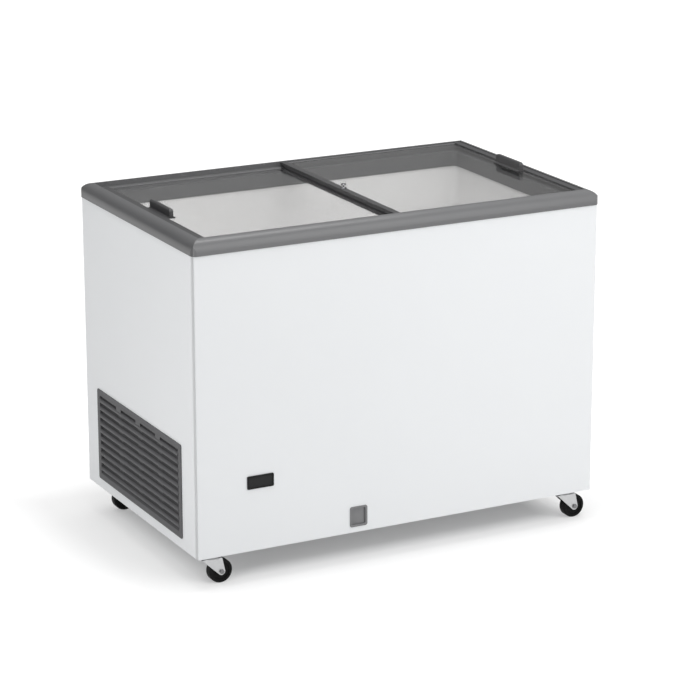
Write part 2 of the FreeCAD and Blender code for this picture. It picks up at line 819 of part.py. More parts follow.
def controller_bezel():
    """Black frame of the thermometer with its case behind the panel."""
    x0, x1, z0, z1 = controller_place()
    y0 = -half_depth - controller_proud
    rim = controller_rim + piece_gap
    plate = rounded_box(x0, x1, y0, -half_depth, z0, z1, controller_radius, Y_AXIS)
    case = box(x0 + rim, x1 - rim, -half_depth, -half_depth + controller_depth, z0 + rim, z1 - rim)
    window = box(x0 + rim, x1 - rim, y0, y0 + lens_recess + lens_thickness, z0 + rim, z1 - rim)
    inside = rim + controller_wall
    hollow = box(x0 + inside, x1 - inside, y0 + lens_recess + lens_thickness,
                 -half_depth + controller_depth - controller_wall, z0 + inside, z1 - inside)
    return plate.fuse(case).removeSplitter().cut([window, hollow])


def controller_lens():
    """Dark window let into the controller's bezel."""
    x0, x1, z0, z1 = controller_place()
    rim = controller_rim + piece_gap
    y0 = -half_depth - controller_proud + lens_recess
    return box(x0 + rim, x1 - rim, y0, y0 + lens_thickness, z0 + rim, z1 - rim)


def drain_housing():
    """Rim and cup that hold the drain cap."""
    x0, x1, z0, z1 = drain_place()
    y0 = -half_depth - drain_proud
    rim = drain_rim + piece_gap
    inside = rim + drain_cup_wall
    y1 = -half_depth + drain_cup_depth
    plate = rounded_box(x0, x1, y0, -half_depth, z0, z1, drain_radius, Y_AXIS)
    cup = box(x0 + rim, x1 - rim, -half_depth, y1, z0 + rim, z1 - rim)
    hollow = rounded_box(x0 + inside, x1 - inside, y0, y1 - drain_cup_wall, z0 + inside, z1 - inside,
                         drain_radius - drain_cup_wall, Y_AXIS)
    middle = V((x0 + x1) / 2, 0, (z0 + z1) / 2)
    bore = rod(drain_tube_diameter / 2 - drain_tube_wall, middle + Y_AXIS * (y1 - 2 * drain_cup_wall),
               middle + Y_AXIS * (y1 + sheet))
    return plate.fuse(cup).removeSplitter().cut([hollow, bore])


def drain_cap():
    """Recessed cap that closes the drain cup, with a stem over the tube's mouth."""
    x0, x1, z0, z1 = drain_place()
    edge = drain_rim + drain_cup_wall + 2 * piece_gap
    y0 = -half_depth - drain_proud + drain_cap_recess
    y_back = -half_depth + drain_cup_depth - drain_cup_wall - piece_gap
    cap = rounded_box(x0 + edge, x1 - edge, y0, y0 + drain_cap_thickness, z0 + edge, z1 - edge,
                      drain_radius - drain_cup_wall - piece_gap, Y_AXIS)
    middle = V((x0 + x1) / 2, 0, (z0 + z1) / 2)
    stem = rod(drain_tube_diameter / 2 + drain_tube_wall, middle + Y_AXIS * (y0 + drain_cap_thickness),
               middle + Y_AXIS * y_back)
    return cap.fuse(stem).removeSplitter()


def drain_tube():
    """Elbow from the floor of the well to the cup in the front panel."""
    x0, x1, z0, z1 = drain_place()
    inlet = drain_inlet()
    under = inlet - Z_AXIS * liner_thickness
    level = (z0 + z1) / 2
    mouth = V(inlet.x, -half_depth + drain_cup_depth, level)
    corner = V(inlet.x, inlet.y, level)
    outside = drain_tube_diameter / 2
    bend = outside + drain_tube_wall
    tube = bent_tube([mouth, corner, under], bend, outside)
    return tube.cut(bent_tube([mouth, corner, under], bend, outside - drain_tube_wall))


def castor_plates():
    """Four square plates, each with its upper race and kingpin."""
    z1 = base_z
    z0 = z1 - castor_plate_thickness
    half = castor_plate_size / 2
    bridge_z = wheel_diameter + fork_bridge_gap
    race_bottom = fork_race_top() + race_gap
    solids = []
    for x, y in castor_centres().values():
        plate = rounded_box(x - half, x + half, y - half, y + half, z0, z1, castor_plate_radius, Z_AXIS)
        axis = V(x, y, 0)
        race = rod(race_neck_diameter / 2, axis + Z_AXIS * race_bottom, axis + Z_AXIS * z0)
        pin = rod(kingpin_diameter / 2, axis + Z_AXIS * (bridge_z - race_gap), axis + Z_AXIS * z0)
        head_z = bridge_z - race_gap
        head = rod(kingpin_head / 2, axis + Z_AXIS * (head_z - kingpin_head_height), axis + Z_AXIS * head_z)
        plate = plate.fuse([race, pin, head]).removeSplitter()
        step = castor_bolt_spacing / 2
        holes = [rod(castor_bolt_diameter / 2, V(x + i * step, y + j * step, z0 - sheet),
                     V(x + i * step, y + j * step, z1 + sheet)) for i in (-1, 1) for j in (-1, 1)]
        solids.append(plate.cut(holes))
    return Part.makeCompound(solids)


def castor_bolts():
    """Hexagon bolts through the castor plates and the base panel."""
    z0 = base_z - castor_plate_thickness
    bolts = []
    for x, y in castor_bolt_places():
        corners = [V(x, y, z0) + V(math.cos(k * math.pi / 3), math.sin(k * math.pi / 3), 0) * (castor_bolt_head / 2)
                   for k in range(6)]
        head = prism(corners, Z_AXIS * -castor_bolt_head_height)
        shank = rod(castor_bolt_diameter / 2 - running_gap, V(x, y, z0), V(x, y, floor_sheet_z))
        bolts.append(head.fuse(shank).removeSplitter())
    return Part.makeCompound(bolts)


def fork_race_top():
    """Level of the fork's lower race, half way between its bridge and the castor plate."""
    bridge_top = wheel_diameter + fork_bridge_gap + fork_sheet
    return (bridge_top + base_z - castor_plate_thickness) / 2


def castor_fork(x, y):
    """Pressed fork: round race on top, two tapering cheeks down to the trailing axle."""
    bridge_z = wheel_diameter + fork_bridge_gap
    axle_z = wheel_diameter / 2
    half_top = fork_top_width / 2
    inner = wheel_width / 2 + wheel_side_gap
    axis = V(x, y, 0)
    lower_race = turned([axis + V(0, 0, bridge_z), axis + V(race_diameter / 2, 0, bridge_z),
                         axis + V(race_diameter / 2, 0, bridge_z + fork_sheet * 2),
                         axis + V(race_neck_diameter / 2, 0, fork_race_top()), axis + V(0, 0, fork_race_top())],
                        axis, Z_AXIS)
    eye = V(castor_trail, 0, axle_z)
    left_top = V(-half_top, 0, bridge_z + fork_sheet)
    right_top = V(half_top, 0, bridge_z + fork_sheet)

    def tangent(corner, side):
        """Point where a line from a corner touches the eye's outer circle."""
        gap = eye - corner
        swing = math.asin(fork_eye_radius / gap.Length)
        heading = math.atan2(gap.z, gap.x) + side * swing
        reach = math.sqrt(gap.Length ** 2 - fork_eye_radius ** 2)
        return corner + V(math.cos(heading), 0, math.sin(heading)) * reach

    low = eye - Z_AXIS * fork_eye_radius
    cheeks = []
    for start in (-inner - fork_sheet, inner):
        shift = axis + Y_AXIS * start
        cheek = prism([left_top + shift, right_top + shift, tangent(right_top, 1) + shift,
                       (low + shift, tangent(left_top, -1) + shift)], Y_AXIS * fork_sheet)
        cheeks.append(cheek)
    bridge = box(x - half_top, x + half_top, y - inner, y + inner, bridge_z, bridge_z + fork_sheet)
    fork = lower_race.fuse(cheeks + [bridge]).removeSplitter()
    pin_hole = rod(kingpin_diameter / 2 + running_gap, axis, axis + Z_AXIS * base_z)
    reach = inner + 2 * fork_sheet
    axle_hole = rod(axle_diameter / 2, axis + eye - Y_AXIS * reach, axis + eye + Y_AXIS * reach)
    return fork.cut([pin_hole, axle_hole])


def castor_axle(x, y):
    """Bolt through the fork and the wheel, with a head on one side and a nut on the other."""
    middle = V(x + castor_trail, y, wheel_diameter / 2)
    outer = wheel_width / 2 + wheel_side_gap + fork_sheet
    shank = rod(axle_diameter / 2, middle - Y_AXIS * outer, middle + Y_AXIS * outer)
    ends = []
    for side in (-1, 1):
        corners = [middle + Y_AXIS * (side * outer)
                   + V(math.cos(k * math.pi / 3), 0, math.sin(k * math.pi / 3)) * (axle_head / 2) for k in range(6)]
        ends.append(prism(corners, Y_AXIS * (side * axle_head_height)))
    return shank.fuse(ends).removeSplitter()


def castor_wheel(x, y):
    """Solid wheel: chamfered tread, dished sides and a raised hub, bored for the axle."""
    c = V(x + castor_trail, y, wheel_diameter / 2)
    r = wheel_diameter / 2
    w = wheel_width / 2
    hub = wheel_hub_diameter / 2
    bore = axle_diameter / 2 + running_gap
    dish = w - wheel_dish
    half = [(bore, w), (hub, w), (hub, dish), (r - wheel_rim, dish), (r - wheel_rim, w),
            (r - tread_chamfer, w), (r, w - tread_chamfer)]
    other = [(radius, -across) for radius, across in reversed(half)]
    points = [c + V(0, across, radius) for radius, across in half + other]
    return turned(points, c, Y_AXIS)


def compressor_centre():
    """Middle of the compressor on the floor of the machine compartment."""
    return V(compressor_x, half_depth - compressor_rear_offset, floor_sheet_z)


def compressor_grommets():
    """Four rubber blocks under the compressor's foot plate."""
    c = compressor_centre()
    dx = foot_plate_length / 2 - grommet_diameter / 2
    dy = foot_plate_depth / 2 - grommet_diameter / 2
    return Part.makeCompound([rod(grommet_diameter / 2, c + V(i * dx, j * dy, 0),
                                  c + V(i * dx, j * dy, grommet_height)) for i in (-1, 1) for j in (-1, 1)])


def compressor_foot():
    """Foot plate under the compressor."""
    c = compressor_centre()
    z0 = c.z + grommet_height
    return rounded_box(c.x - foot_plate_length / 2, c.x + foot_plate_length / 2, c.y - foot_plate_depth / 2,
                       c.y + foot_plate_depth / 2, z0, z0 + foot_plate_thickness, grommet_diameter / 2, Z_AXIS)


def compressor_levels():
    """Lowest and highest level of the compressor's pot."""
    z0 = compressor_centre().z + grommet_height + foot_plate_thickness
    return z0, z0 + compressor_height


def compressor_shell():
    """Sealed pot of two drawn halves with a welded seam."""
    c = compressor_centre()
    z0, z1 = compressor_levels()
    r = compressor_diameter / 2
    seam = (z0 + z1) / 2
    dome = compressor_base_round
    crown = compressor_crown_round
    a = V(c.x, c.y, 0)
    s = math.sin(math.radians(45))
    points = [a + V(0, 0, z0), a + V(r - dome, 0, z0),
              (a + V(r - dome + dome * s, 0, z0 + dome - dome * s), a + V(r, 0, z0 + dome)),
              a + V(r, 0, seam), a + V(r + compressor_seam, 0, seam),
              a + V(r + compressor_seam, 0, seam + compressor_seam), a + V(r, 0, seam + compressor_seam),
              a + V(r, 0, z1 - crown),
              (a + V(r - crown + crown * s, 0, z1 - crown + crown * s), a + V(r - crown, 0, z1)), a + V(0, 0, z1)]
    return turned(points, a, Z_AXIS)


def terminal_box():
    """Electrical cover that sits against the side of the compressor."""
    c = compressor_centre()
    z0, z1 = compressor_levels()
    wide = terminal_box_width / 2
    low = z0 + terminal_box_lift
    side = c.x + pot_reach
    body = rounded_box(side - terminal_box_wrap, side + terminal_box_depth, c.y - wide, c.y + wide,
                       low, low + terminal_box_height, terminal_box_radius, X_AXIS)
    pot = rod(pot_reach, V(c.x, c.y, z0), V(c.x, c.y, z1))
    return body.cut(pot)


def condenser_place():
    """Centre plane, front and rear ends, and lowest pass of the condenser."""
    x = -half_length + condenser_side_offset
    y0 = -half_depth + condenser_front_offset
    return x, y0, y0 + condenser_run, floor_sheet_z + condenser_floor_gap


def condenser_coil():
    """One unbroken tube that runs to and fro in an upright plane."""
    x, y0, y1, z0 = condenser_place()
    turn = condenser_pitch / 2
    edges = []
    for k in range(condenser_passes):
        z = z0 + k * condenser_pitch
        near, far = (y1, y0) if k % 2 == 0 else (y0, y1)
        edges.append(Part.LineSegment(V(x, near, z), V(x, far, z)).toShape())
        if k < condenser_passes - 1:
            bulge = turn if far > near else -turn
            edges.append(Part.Arc(V(x, far, z), V(x, far + bulge, z + turn), V(x, far, z + 2 * turn)).toShape())
    circle = Part.Wire(Part.makeCircle(tube_diameter / 2, V(x, y1, z0), V(0, -1, 0)))
    return Part.Wire(edges).makePipeShell([circle], True, False)


def condenser_bracket():
    """Two uprights on one foot that hold the condenser tube."""
    x, y0, y1, z0 = condenser_place()
    xa = x + tube_diameter / 2 + piece_gap
    xb = xa + fan_shroud_sheet
    z1 = z0 + (condenser_passes - 1) * condenser_pitch + tube_diameter / 2
    quarter = condenser_run / 4
    strips = [box(xa, xb, y - bracket_strip / 2, y + bracket_strip / 2, floor_sheet_z, z1)
              for y in (y0 + quarter, y1 - quarter)]
    foot = box(xa, xa + bracket_strip, y0, y1, floor_sheet_z, floor_sheet_z + fan_shroud_sheet)
    return foot.fuse(strips).removeSplitter()


def fan_centre():
    """Middle of the fan, on the back face of its shroud."""
    x, y0, y1, z0 = condenser_place()
    return V(x + condenser_side_offset, (y0 + y1) / 2, floor_sheet_z + fan_shroud_size / 2 + condenser_floor_gap)


def fan_shroud():
    """Sheet plate with a round mouth, on a folded foot."""
    c = fan_centre()
    half = fan_shroud_size / 2
    plate = box(c.x - fan_shroud_sheet, c.x, c.y - half, c.y + half, floor_sheet_z, c.z + half)
    mouth = rod(fan_diameter / 2 + fan_tip_gap, c - X_AXIS * (2 * fan_shroud_sheet), c + X_AXIS * fan_shroud_sheet)
    foot = box(c.x - bracket_strip, c.x, c.y - half, c.y + half, floor_sheet_z, floor_sheet_z + fan_shroud_sheet)
    return plate.cut(mouth).fuse(foot).removeSplitter()


def fan_motor():
    """Motor can on a four-legged bracket behind the fan."""
    c = fan_centre()
    front = c + X_AXIS * (fan_hub_length + 2 * fan_tip_gap)
    can = rod(fan_motor_diameter / 2, front, front + X_AXIS * fan_motor_length)
    reach = (fan_shroud_size - fan_shroud_border) / 2
    t = fan_shroud_sheet
    half = bracket_strip / 2
    arms = [box(front.x, front.x + t, c.y - reach, c.y + reach, c.z - half, c.z + half)]
    for side in (-1, 1):
        tip = c.y + side * reach
        arms.append(box(c.x, front.x + t, min(tip, tip - side * t), max(tip, tip - side * t), c.z - half, c.z + half))
    bore = rod(fan_shaft_diameter / 2 + running_gap, front, front + X_AXIS * (fan_motor_length / 2))
    return can.fuse(arms).removeSplitter().cut(bore)


def fan_rotor():
    """Hub, shaft and pitched blades."""
    c = fan_centre()
    hub = rod(fan_hub_diameter / 2, c, c + X_AXIS * fan_hub_length)
    motor_front = c.x + fan_hub_length + 2 * fan_tip_gap
    shaft = rod(fan_shaft_diameter / 2, c, V(motor_front + fan_motor_length / 2 - fan_tip_gap, c.y, c.z))

    def section(radius, chord, pitch):
        """Flat blade section across the radius, set at a pitch to the fan's plane."""
        along = V(math.sin(pitch), math.cos(pitch), 0) * (chord / 2)
        across = V(math.cos(pitch), -math.sin(pitch), 0) * (fan_shroud_sheet / 2)
        middle = c + V(fan_hub_length / 2, 0, radius)
        return outline([middle - along - across, middle + along - across,
                        middle + along + across, middle - along + across])

    inner = section(fan_hub_diameter / 2 - fan_shroud_sheet * 2, blade_root_chord, blade_root_pitch)
    outer = section(fan_diameter / 2, blade_tip_chord, blade_tip_pitch)
    blade = Part.makeLoft([inner, outer], True, True)
    blades = []
    for k in range(fan_blades):
        copy = blade.copy()
        copy.rotate(c, X_AXIS, k * 360.0 / fan_blades)
        blades.append(copy)
    return hub.fuse([shaft] + blades).removeSplitter()


def filter_drier():
    """Copper bottle with drawn ends on the lowest pass of the condenser."""
    x, y0, y1, z0 = condenser_place()
    r = drier_diameter / 2
    neck = tube_diameter / 2
    c = V(x, y1, z0)
    points = [c, c + V(0, 0, neck), c + V(0, r, neck), c + V(0, 2 * r, r),
              c + V(0, drier_length - 2 * r, r), c + V(0, drier_length - r, neck),
              c + V(0, drier_length, neck), c + V(0, drier_length, 0)]
    return turned(points, c, Y_AXIS)


def discharge_line():
    """Hot gas tube from the top of the compressor to the highest pass of the condenser."""
    x, y0, y1, z0 = condenser_place()
    c = compressor_centre()
    top = compressor_levels()[1]
    z_high = z0 + (condenser_passes - 1) * condenser_pitch
    start = V(c.x - compressor_port_offset, c.y, top)
    return bent_tube([start, V(start.x, start.y, z_high), V(x, start.y, z_high), V(x, y1, z_high)],
                     tube_bend_radius, tube_diameter / 2)


def suction_line():
    """Cold gas tube from the top of the compressor to the bulkhead."""
    c = compressor_centre()
    top = compressor_levels()[1]
    start = V(c.x + compressor_port_offset, c.y, top)
    over = (top + compartment_top) / 2
    return bent_tube([start, V(start.x, start.y, over), V(compartment_x, start.y, over)],
                     tube_bend_radius, tube_diameter / 2)


def cord_gland():
    """Bush in the rear panel where the supply cord would leave."""
    c = gland_centre()
    flange = rod(gland_flange / 2, c, c + Y_AXIS * gland_proud)
    neck = rod(gland_diameter / 2 - piece_gap, c - Y_AXIS * gland_neck, c)
    bore = rod(gland_bore / 2, c - Y_AXIS * (2 * gland_neck), c + Y_AXIS * gland_neck)
    return flange.fuse(neck).removeSplitter().cut(bore)


def build():
    """Every piece of the freezer by the name of its node."""
    pane_upper = upper_glass()
    pane_lower = lower_glass()
    pieces = {
        "front_panel": front_panel(),
        "left_panel": left_panel(),
        "right_panel": side_panel(1),
        "rear_panel": rear_panel(),
        "base_panel": base_panel(),
        "foam_insulation": foam_insulation(),
        "liner": liner(),
        "evaporator_coil": evaporator_coil(),
        "inner_collar": inner_collar(),
        "side_grille": side_grille(),
        "controller_bezel": controller_bezel(),
        "controller_lens": controller_lens(),
        "drain_housing": drain_housing(),
        "drain_tube": drain_tube(),
        "drain_cap": drain_cap(),
        "compartment_liner": compartment_liner(),
        "compressor_shell": compressor_shell(),
        "compressor_foot": compressor_foot(),
        "compressor_grommets": compressor_grommets(),
        "terminal_box": terminal_box(),
        "condenser_coil": condenser_coil(),
        "condenser_bracket": condenser_bracket(),
        "fan_shroud": fan_shroud(),
        "fan_motor": fan_motor(),
        "fan_rotor": fan_rotor(),
        "filter_drier": filter_drier(),
        "discharge_line": discharge_line(),
        "suction_line": suction_line(),
        "cord_gland": cord_gland(),
        "castor_plates": castor_plates(),
        "castor_bolts": castor_bolts(),
        "left_glass": pane_lower,
        "left_lid_runners": runners(lower_lid_y, lower, lower_lid_start + lower_end_width,
                                    lower_lid_end - lower_centre_width, pane_lower),
        "left_lid_end_profile": lower_end_profile(pane_lower),
        "left_lid_centre_profile": lower_centre_profile(pane_lower),
        "left_lid_handle": lid_handle(lower_lid_start + lower_end_width + handle_foot_width / 2, lower.glass_top),
        "right_glass": pane_upper,
        "right_lid_runners": runners(upper_lid_y, upper, upper_lid_start + centre_profile_width,
                                     upper_lid_end - upper_end_width, pane_upper),
        "right_lid_end_profile": upper_end_profile(pane_upper),
        "right_lid_centre_profile": upper_centre_profile(pane_upper),
        "right_lid_handle": lid_handle(upper_lid_end - upper_end_width - handle_foot_width / 2, upper.glass_top),
        "centre_seal": centre_seal(),
        "lock_barrel": lock_barrel(),
        "lock_plunger": lock_plunger(),
    }
    pieces.update(frame_rails())
    for name, (x, y) in castor_centres().items():
        pieces["castor_fork_" + name] = castor_fork(x, y)
        pieces["castor_axle_" + name] = castor_axle(x, y)
        pieces["castor_wheel_" + name] = castor_wheel(x, y)
    return pieces


os.makedirs("parts", exist_ok=True)
for node, shape in build().items():
    shape.exportStep(os.path.join("parts", node + ".step"))
    print("%-26s solids %2d  valid %s  volume %.0f" % (node, len(shape.Solids), shape.isValid(), shape.Volume))
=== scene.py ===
# %% [markdown]
# # A glass lid chest freezer, dressed for its portrait
# The freezer stands on four castors: a white sheet metal tub, a grey plastic frame round its rim, two glass lids
# that slide in that frame, and a dark grille on the side where the machine breathes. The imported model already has
# every piece at its true place in metres. What is left for Blender is light, a camera, finishes that behave like
# the real ones, and one thin lining that is too fine for the solids.

# %% Load the frame
import math

import bmesh
import bpy
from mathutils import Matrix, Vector


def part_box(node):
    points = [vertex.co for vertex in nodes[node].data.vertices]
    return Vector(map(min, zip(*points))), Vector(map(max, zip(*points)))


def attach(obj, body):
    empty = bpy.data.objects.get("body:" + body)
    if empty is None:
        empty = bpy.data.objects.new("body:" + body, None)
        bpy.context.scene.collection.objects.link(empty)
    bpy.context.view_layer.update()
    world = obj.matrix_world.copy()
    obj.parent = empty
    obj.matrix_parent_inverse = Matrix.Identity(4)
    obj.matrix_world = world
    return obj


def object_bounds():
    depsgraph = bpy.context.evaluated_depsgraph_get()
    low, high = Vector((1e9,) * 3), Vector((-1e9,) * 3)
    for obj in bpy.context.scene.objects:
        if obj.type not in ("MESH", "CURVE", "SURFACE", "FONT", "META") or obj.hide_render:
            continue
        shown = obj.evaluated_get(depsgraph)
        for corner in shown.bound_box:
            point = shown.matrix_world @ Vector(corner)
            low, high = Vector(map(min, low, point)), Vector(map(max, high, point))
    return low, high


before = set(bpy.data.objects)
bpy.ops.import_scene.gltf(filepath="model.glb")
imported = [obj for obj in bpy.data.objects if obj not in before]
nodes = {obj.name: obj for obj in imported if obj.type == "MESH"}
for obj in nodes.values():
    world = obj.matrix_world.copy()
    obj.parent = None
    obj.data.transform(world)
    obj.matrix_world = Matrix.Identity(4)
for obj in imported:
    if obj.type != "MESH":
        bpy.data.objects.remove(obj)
cad_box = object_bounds()
print("solids:", len(nodes), " size in metres:", [round(c, 4) for c in cad_box[1] - cad_box[0]])

# %% [markdown]
# ## The camera
# The portrait was taken from the front left, a little above the lids, with a long lens that keeps the long front
# almost free of perspective. Fitting the cabinet's corners gave the eye, the heading and the tilt. A lens shift
# could keep the uprights parallel as a view camera does, but a shift stays when the camera walks round the
# object, so the camera simply tilts down.

# %% Camera
eye = Vector((-3.3992, -6.5736, 2.6908))
heading = math.radians(27.591)
tilt = math.radians(16.694)

lens = bpy.data.cameras.new("portrait_lens")
lens.sensor_width = 36.0
lens.lens = 146.34
camera = bpy.data.objects.new("portrait_camera", lens)
camera.location = eye
camera.rotation_euler = (math.pi / 2 - tilt, 0.0, -heading)
bpy.context.scene.collection.objects.link(camera)
bpy.context.scene.camera = camera
bpy.context.scene.view_settings.view_transform = "Standard"
print("camera stands", round(eye.length, 2), "m from the origin with a", round(lens.lens), "mm lens")

# %% [markdown]
# ## Wiring nodes in one line
# Every finish below is a small graph of shader nodes. Adding a node, setting its values and joining it up takes
# three kinds of statement, so one helper does all three: a socket given as a value is linked, anything else is
# written into the input. Three things come up again and again and have a short form: a calculation with two values,
# a range mapped on another range, and a new material with an empty graph.

# %% Node helpers
def put(tree, kind, sockets=None, **settings):
    node = tree.nodes.new("ShaderNode" + kind)
    for key, value in settings.items():
        setattr(node, key, value)
    for key, value in (sockets or {}).items():
        if isinstance(value, bpy.types.NodeSocket):
            tree.links.new(value, node.inputs[key])
        else:
            node.inputs[key].default_value = value
    return node


def calc(tree, operation, first, second):
    return put(tree, "Math", {0: first, 1: second}, operation=operation).outputs[0]


def ramp(tree, value, start, end):
    return put(tree, "MapRange", {"Value": value, "From Min": start[0], "From Max": start[1],
                                  "To Min": end[0], "To Max": end[1]}).outputs[0]


def blank(name):
    material = bpy.data.materials.new(name)
    material.use_nodes = True
    material.node_tree.nodes.clear()
    return material, material.node_tree


print("helpers ready:", [helper.__name__ for helper in (put, calc, ramp, blank)])

# %% [markdown]
# ## Studio light
# A white cabinet on white paper lives from small steps of grey, so the light has to be soft and come mostly from
# above, through the glass into the well. The world is that studio: a dim wall all round and a bright ceiling. The
# camera sees paper white instead. A mirrored or refracted ray sees that white only close above the horizon, because a
# wall as white as the paper would lie on the panes as a veil and hide the well.

# %% World
white = (1.0, 1.0, 1.0, 1.0)
wall_strength, ceiling_strength = 0.20, 1.50
ceiling_from, horizon_to = 0.42, 0.06

world = bpy.data.worlds.new("studio")
world.use_nodes = True
bpy.context.scene.world = world
dome = world.node_tree
dome.nodes.clear()
ray = put(dome, "LightPath").outputs
height = put(dome, "SeparateXYZ", {0: put(dome, "TexCoord").outputs["Generated"]}).outputs["Z"]
rise = ramp(dome, height, (ceiling_from, 1.0), (wall_strength, ceiling_strength))
low = ramp(dome, height, (0.0, horizon_to), (1.0, 0.0))
bounced = calc(dome, "MAXIMUM", ray["Is Glossy Ray"], ray["Is Transmission Ray"])
horizon = calc(dome, "MULTIPLY", low, bounced)
sees_paper = calc(dome, "MAXIMUM", ray["Is Camera Ray"], horizon)
soft_light = put(dome, "Background", {"Color": white, "Strength": rise})
paper_white = put(dome, "Background", {"Color": white, "Strength": 1.0})
either = put(dome, "MixShader", {0: sees_paper, 1: soft_light.outputs[0], 2: paper_white.outputs[0]})
put(dome, "OutputWorld", {"Surface": either.outputs[0]})
print("dome strength from wall to ceiling:", wall_strength, ceiling_strength)

# %% [markdown]
# Five soft boxes shape the tub. A broad one leans over the front right, just where the round of the front rail
# mirrors it towards the camera, and draws a sheen along it. A square one stands low at the left, so that the side is
# only a step darker than the front and fades a little towards the back. Two light the well: one hangs high in front
# and shines through the panes on its back wall, and one hangs straight above the lids. The last one stands behind at
# the right for whoever walks round the freezer, so that the back and the right side look as white as they are.

# %% Soft boxes
def soft_box(name, place, target, width, height, radiance):
    data = bpy.data.lights.new(name, "AREA")
    data.shape = "RECTANGLE"
    data.size = width
    data.size_y = height
    data.energy = radiance * math.pi * width * height
    lamp = bpy.data.objects.new(name, data)
    lamp.location = place
    lamp.rotation_euler = (Vector(target) - Vector(place)).to_track_quat("-Z", "Y").to_euler()
    lamp.visible_camera = False
    bpy.context.scene.collection.objects.link(lamp)
    return lamp


key = soft_box("key_box", place=(1.35, -3.4, 2.2), target=(0.0, -0.36, 0.92), width=2.7, height=3.2, radiance=2.75)
side = soft_box("side_box", place=(-2.9, -1.5, 0.8), target=(-0.6, 0.0, 0.4), width=1.4, height=1.2, radiance=4.1)
well = soft_box("well_box", place=(-0.6, -3.0, 3.4), target=(0.0, 0.0, 0.7), width=2.6, height=1.6, radiance=3.3)
top = soft_box("top_box", place=(0.0, -0.25, 2.9), target=(0.0, 0.0, 0.4), width=1.8, height=0.85, radiance=3.9)
back = soft_box("back_box", place=(2.6, 2.6, 1.9), target=(0.3, 0.2, 0.5), width=2.4, height=2.4, radiance=2.4)
for lamp in (key, side, well, top, back):
    print(lamp.name, round(lamp.data.energy), "W")

# %% [markdown]
# Light linking gives each lamp a list of what it lights. The lids are flat and polished, so from some sides a pane
# would mirror a whole soft box as a hard white patch that looks like a hole. A photographer hangs a black flag in the
# way; here no lamp lights the panes. The side box leaves out the front as well, which it would bleach when seen along
# its face, and the left rail, which is a step darker than the front one in the portrait. The high box in front is
# there for the well alone, as the panes take away a part of its light, so it has only the liner and the collar on its
# list, and the box behind has only the two sheets on its side.

# %% Light lists
def light_list(name, pieces, state):
    listed = bpy.data.collections.new(name)
    for piece in pieces:
        listed.objects.link(nodes[piece])
    for entry in listed.collection_objects:
        entry.light_linking.link_state = state
    return listed


panes = ("left_glass", "right_glass")
flagged = light_list("panes_left_out", panes, "EXCLUDE")
for lamp in (key, top):
    lamp.light_linking.receiver_collection = flagged
side.light_linking.receiver_collection = light_list(
    "front_left_rail_and_panes_left_out", ("front_panel", "frame_left_rail", *panes), "EXCLUDE")
well.light_linking.receiver_collection = light_list("well_alone", ("liner", "inner_collar"), "INCLUDE")
back.light_linking.receiver_collection = light_list("back_and_right", ("rear_panel", "right_panel"), "INCLUDE")

# %% [markdown]
# ## The floor
# The floor is white paper that keeps a soft shadow. A share of its brightness is painted glow, not lamp light, for
# the camera and for what is mirrored or seen through glass. Deep under the freezer and close round it that glow is
# small, which paints extra shadow round the footprint on top of the cast one, and it grows in two steps with the
# distance from the footprint until the paper is plain white.

# %% Floor
paper_grey = (0.64, 0.64, 0.64, 1.0)
near_metres, near_share = (-0.11, -0.045), (0.17, 0.36)
far_metres, far_share = (0.10, 0.40), (0.0, 0.26)
floor_half_width = 40.0

paper, sheet = blank("studio_paper")
look = put(sheet, "LightPath").outputs
mirrored = calc(sheet, "MAXIMUM", look["Is Camera Ray"], look["Is Glossy Ray"])
looked_at = calc(sheet, "MAXIMUM", mirrored, look["Is Transmission Ray"])
spot = put(sheet, "VectorMath", {0: put(sheet, "TexCoord").outputs["Object"]}, operation="ABSOLUTE")
outside = put(sheet, "VectorMath", {0: spot.outputs[0], 1: (*cad_box[1].xy, 0.0)}, operation="SUBTRACT")
beyond = put(sheet, "SeparateXYZ", {0: outside.outputs[0]}).outputs
away = calc(sheet, "MAXIMUM", beyond["X"], beyond["Y"])
# The glow is held back near the footprint: painted shadow round the freezer, added to the shadow the lamps cast.
near = ramp(sheet, away, near_metres, near_share)
far = ramp(sheet, away, far_metres, far_share)
glow_with_painted_shadow = calc(sheet, "MULTIPLY", looked_at, calc(sheet, "ADD", near, far))
matt_paper = put(sheet, "BsdfDiffuse", {"Color": paper_grey})
painted_glow_white = put(sheet, "Emission", {"Color": white, "Strength": glow_with_painted_shadow})
paper_sum = put(sheet, "AddShader", {0: matt_paper.outputs[0], 1: painted_glow_white.outputs[0]})
put(sheet, "OutputMaterial", {"Surface": paper_sum.outputs[0]})

floor_mesh = bpy.data.meshes.new("studio_floor")
spread = bmesh.new()
bmesh.ops.create_grid(spread, x_segments=1, y_segments=1, size=floor_half_width)
spread.to_mesh(floor_mesh)
spread.free()
floor_mesh.materials.append(paper)
floor = bpy.data.objects.new("studio_floor", floor_mesh)
bpy.context.scene.collection.objects.link(floor)
print("floor half width:", floor_half_width, "m")

# %% [markdown]
# ## Shared surface effects
# Real surfaces are never one flat colour. Moulded plastic has a fine spark-eroded grain, powder coat has a gentle
# orange peel, zinc sheet has spangles, drawn tube has streaks. Each effect is a node group, built once, that puts
# out a height for the bump, a tone for the colour and a gloss for the roughness. All of them read Object
# coordinates, which are metres here, so a scale of 1000 means features a millimetre apart.

# %% Group maker
def effect(name, inputs):
    tree = bpy.data.node_groups.new(name, "ShaderNodeTree")
    for label, value in inputs.items():
        tree.interface.new_socket(label, in_out="INPUT", socket_type="NodeSocketFloat").default_value = value
    for label in ("Height", "Tone", "Gloss"):
        tree.interface.new_socket(label, in_out="OUTPUT", socket_type="NodeSocketFloat")
    given = tree.nodes.new("NodeGroupInput").outputs
    return tree, given, put(tree, "TexCoord").outputs["Object"]


def hand_out(tree, **results):
    outs = tree.nodes.new("NodeGroupOutput").inputs
    for label, socket in results.items():
        tree.links.new(socket, outs[label])
    print("effect:", tree.name)


print("group maker ready:", effect.__name__, hand_out.__name__)

